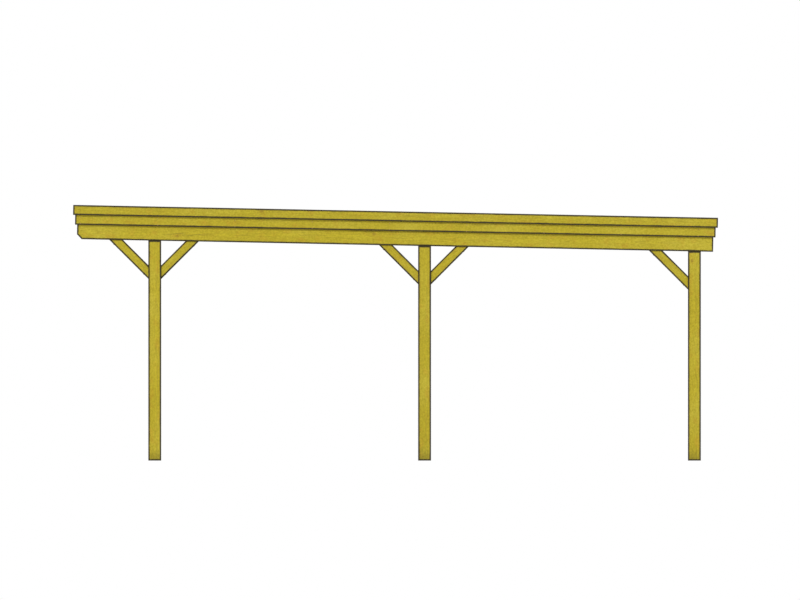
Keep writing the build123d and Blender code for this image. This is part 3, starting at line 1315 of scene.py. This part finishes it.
@dataclass
class Fixings:
    """Screws, nails, brackets, plates and straps. Heads stand on the surfaces that they hold."""

    roof: Roof
    side_rows: tuple[float, ...] = (-0.133, -0.076)
    front_rows: tuple[float, ...] = (-0.102, -0.076)
    rear_row: float = -0.133
    purlin_gauge: float = 0.025
    held_ribs: tuple[int, ...] = (0, 4, 7, 11)
    bracket_nail_rows: tuple[float, ...] = (0.036, 0.058)
    bracket_nail_gauge: float = 0.018
    plate_nail_rows: tuple[float, ...] = (-0.088, -0.070, -0.046, -0.022, 0.022, 0.046, 0.070, 0.088)
    plate_nail_gauge: float = 0.017
    brace_screw_inset: float = 0.060
    brace_screw_gauge: float = 0.021
    strap_places: tuple[float, ...] = (-1.10, -0.55, 0.0, 0.55, 1.10)
    strap_top: float = -0.0078
    strap_nail_share: float = 0.65

    @cached_property
    def metals(self) -> dict[Metal, bpy.types.Material]:
        """Material of each metal."""
        return {metal: FixingMetal(metal).material() for metal in Metal}

    @cached_property
    def dark(self) -> bpy.types.Material:
        """Material of sealing rubber and of the painted shade in screw drives."""
        return RubberAndDriveShade().material()

    def add_heads(self, name: str, head: Head, rows: Rows) -> None:
        """Adds a piece of screw or nail heads.

        Args:
            name: name of the piece.
            head: form of each head.
            rows: places, with the direction in which the heads on them look.
        """
        places = np.concatenate([row for row, _ in rows])
        outward = np.concatenate([np.tile(direction, (len(row), 1)) for row, direction in rows])
        materials = [self.metals[head.metal], self.dark][: max(head.finishes) + 1]
        new_piece(name, head.shape().repeated(places, looking(outward)), materials)

    def add_strips(self, name: str, strip: Strip, places: Any, axes: Any) -> None:
        """Adds a piece of galvanised strips.

        Args:
            name: name of the piece.
            strip: form of each strip.
            places: where the paths start.
            axes: X, Y and Z directions of each strip.
        """
        shape = strip.shape().repeated(np.reshape(places, (-1, 3)), np.reshape(axes, (-1, 3, 3)))
        new_piece(name, shape, [self.metals[Metal.ZINC]])

    def build_fascia_screws(self) -> None:
        """Screws in the lower boards: two at each rafter end, two rows in front, and four in the rear."""
        roof = self.roof
        half_length, half_width = roof.lower.length / 2, roof.lower.width / 2
        rear_places = astride(roof.purlin_lines, self.purlin_gauge)
        self.add_heads("fascia_screws", WOOD_SCREW, [
            (roof.points(roof.stations, -half_width, self.side_rows), -ACROSS),
            (roof.points(roof.stations, half_width, self.side_rows), ACROSS),
            (roof.points(-half_length, roof.end_places, self.front_rows), -roof.along),
            (roof.points(half_length, rear_places, self.rear_row), roof.along),
        ])

    def build_sheet_screws(self) -> None:
        """Sealing screws on the crests of the sheets, at each rafter. Those on a lap stand higher."""
        roof = self.roof
        rib = np.arange(roof.ribs)
        held = np.isin(rib % roof.ribs_per_sheet, self.held_ribs) | (rib == roof.ribs - 1)
        lapped = (rib % roof.ribs_per_sheet == 0) & (rib > 0)
        line = (rib - (roof.ribs - 1) / 2) * roof.rib_pitch
        self.add_heads("sheet_screws", SEALING_SCREW, [
            (roof.points(roof.stations, line[held & ~lapped], roof.crest_height), roof.off),
            (roof.points(roof.stations, line[lapped], roof.crest_height + roof.lap_rise), roof.off),
        ])

    def build_rafter_brackets(self) -> None:
        """Angle brackets between rafters and purlins: behind each rafter, and ahead of the last one."""
        roof, foot = self.roof, -self.roof.rafter_height
        nail_rows = np.array(self.bracket_nail_rows)
        nail_lines = astride(roof.purlin_lines, self.bracket_nail_gauge)
        places, axes, rows = [], [], []
        for station, sign in zip(roof.stations, np.append(np.ones(roof.rafters - 1), -1.0)):
            away = sign * roof.along
            face = station + sign * roof.rafter_width / 2
            front = face + sign * BRACKET.thickness
            places.append(roof.points(face, roof.purlin_lines, foot + BRACKET.runs[0]))
            axes += [np.stack([away, sign * ACROSS, roof.off])] * len(roof.purlin_lines)
            rows += [
                (roof.points(front, nail_lines, foot + nail_rows), away),
                (roof.points(face + sign * nail_rows, nail_lines, foot + BRACKET.thickness), roof.off),
            ]
        self.add_strips("rafter_brackets", BRACKET, places, axes)
        self.add_heads("bracket_nails", NAIL, rows)

    def build_post_plates(self) -> None:
        """Flat plates across the joints of posts and purlins, on the inner faces."""
        u, v = np.meshgrid(self.plate_nail_rows, (-self.plate_nail_gauge, self.plate_nail_gauge))
        u, v = u.reshape(-1, 1), v.reshape(-1, 1)
        places, axes, rows = [], [], []
        for side, sign in SIDES.items():
            inward = -sign * ACROSS
            across = np.cross(inward, UP)
            for place in PLACES:
                low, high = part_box(f"post_{side}_{place}")
                inner = high[1] if sign < 0 else low[1]
                joint = np.array([(low[0] + high[0]) / 2, inner, high[2]])
                places.append(joint - UP * PLATE.runs[0] / 2)
                axes.append(np.stack([UP, across, inward]))
                rows.append((joint + inward * PLATE.thickness + u * UP + v * across, inward))
        self.add_strips("post_plates", PLATE, places, axes)
        self.add_heads("plate_nails", NAIL, rows)

    def build_brace_screws(self) -> None:
        """Two washer-head screws at each end of a brace, in its lower face, the diagonal of its box."""
        spread = np.array([-1, 1])[None, :, None] * self.brace_screw_gauge * ACROSS
        rows = []
        for node in BRACES:
            along, inward = brace_axes(node)
            reach = brace_half(node) - self.brace_screw_inset
            steps = np.array([-reach, reach])[:, None, None] * along
            rows.append(((box_middle(node) + steps + spread).reshape(-1, 3), -inward))
        self.add_heads("brace_screws", WASHER_SCREW, rows)

    def build_gutter_straps(self) -> None:
        """Straps over the gutter, nailed to the rear board and to the last rafter."""
        roof = self.roof
        tab, bay, _ = STRAP.runs
        board = roof.lower.length / 2 - roof.board_thickness
        places = roof.points(board, self.strap_places, self.strap_top - tab)
        level = self.strap_top - tab * self.strap_nail_share
        self.add_strips("gutter_straps", STRAP, places, [np.stack(roof.axes)] * len(places))
        self.add_heads("strap_nails", NAIL, [
            (roof.points(board - STRAP.thickness, self.strap_places, level), -roof.along),
            (roof.points(board - bay + STRAP.thickness, self.strap_places, level), roof.along),
        ])

    def build(self) -> None:
        """Makes all the fixings."""
        self.build_fascia_screws()
        self.build_sheet_screws()
        self.build_rafter_brackets()
        self.build_post_plates()
        self.build_brace_screws()
        self.build_gutter_straps()


@dataclass
class Studio:
    """Pale floor, soft light and the camera of the side elevation."""

    pixels_per_metre: float = 107.5
    picture_width: float = 800.0
    picture_height: float = 600.0
    ground_row: float = 460.6
    roof_middle_column: float = 395.55
    camera_distance: float = 90.0
    camera_reach: float = 360.0
    floor_half: float = 150.0
    floor_tone: float = 0.84
    floor_roughness: float = 0.9
    floor_specular: float = 0.1
    floor_glow: float = 0.19
    ambient: float = 0.50
    spread: float = 12.0
    key_strength: float = 1.7
    key_from: tuple[float, float, float] = (-0.35, -0.85, 0.70)
    fill_strength: float = 0.4
    fill_from: tuple[float, float, float] = (0.7, 0.8, 0.9)

    def build_camera(self) -> None:
        """Level camera on the right side, with parallel rays, framed as the elevation is."""
        data = bpy.data.cameras.new("elevation_camera")
        data.type = "ORTHO"
        data.ortho_scale = self.picture_width / self.pixels_per_metre
        data.clip_end = self.camera_reach
        camera = new_object("elevation_camera", data)
        column = (self.picture_width / 2 - self.roof_middle_column) / self.pixels_per_metre
        row = (self.ground_row - self.picture_height / 2) / self.pixels_per_metre
        camera.location = (column, -self.camera_distance, row)
        camera.rotation_euler = (QUARTER_TURN, 0.0, 0.0)
        bpy.context.scene.camera = camera

    def build_floor(self) -> None:
        """Flat pale floor at the posts' feet. A glow that only the camera sees shows it near white."""
        corners = np.array([(-1, -1, 0), (1, -1, 0), (1, 1, 0), (-1, 1, 0)]) * self.floor_half
        mesh = bpy.data.meshes.new("floor")
        mesh.from_pydata(corners.tolist(), [], [(0, 1, 2, 3)])
        graph = Paint("floor")
        glow = graph.rays("Is Camera Ray") * self.floor_glow
        mesh.materials.append(graph.surface({
            "Base Color": (self.floor_tone, self.floor_tone, self.floor_tone, 1.0),
            "Roughness": self.floor_roughness,
            "Specular IOR Level": self.floor_specular,
            "Emission Color": graph.vector(glow, glow, glow),
            "Emission Strength": 1.0,
        }))
        floor = new_object("floor", mesh)

    def build_lamp(self, name: str, source: tuple[float, float, float], strength: float) -> None:
        """One soft sun.

        Args:
            name: name of the lamp.
            source: direction from which it shines.
            strength: its strength.
        """
        data = bpy.data.lights.new(name, "SUN")
        data.energy = strength
        data.angle = math.radians(self.spread)
        lamp = new_object(name, data)
        lamp.rotation_mode = "QUATERNION"
        lamp.rotation_quaternion = Vector(source).to_track_quat("Z", "Y")

    def build_world(self) -> None:
        """Even light from all round, which itself shows as white."""
        world = bpy.data.worlds.new("studio")
        world.use_nodes = True
        graph = Graph(world.node_tree)
        seen = graph.larger(graph.rays("Is Camera Ray"), graph.rays("Is Glossy Ray"))
        seen = graph.larger(seen, graph.rays("Is Transmission Ray"))
        sockets = {"Color": (1.0, 1.0, 1.0, 1.0), "Strength": self.ambient + seen * (1.0 - self.ambient)}
        light = graph.signal("ShaderNodeBackground", 0, None, sockets)
        graph.node("ShaderNodeOutputWorld", None, {"Surface": light})
        bpy.context.scene.world = world

    def build(self) -> None:
        """Builds the whole studio."""
        self.build_camera()
        self.build_floor()
        self.build_lamp("key_light", self.key_from, self.key_strength)
        self.build_lamp("fill_light", self.fill_from, self.fill_strength)
        self.build_world()
        bpy.context.scene.view_settings.view_transform = "Standard"
        log.info("studio built")


def main() -> None:
    """Builds the carport's looks in order."""
    logging.basicConfig(level=logging.INFO, format="%(name)s: %(message)s")
    roof = Roof()
    Studio().build()
    TimberFrame(roof).build()
    Fascia(roof).build()
    RoofCover(roof).build()
    Fixings(roof).build()


if __name__ == "__main__":
    main()
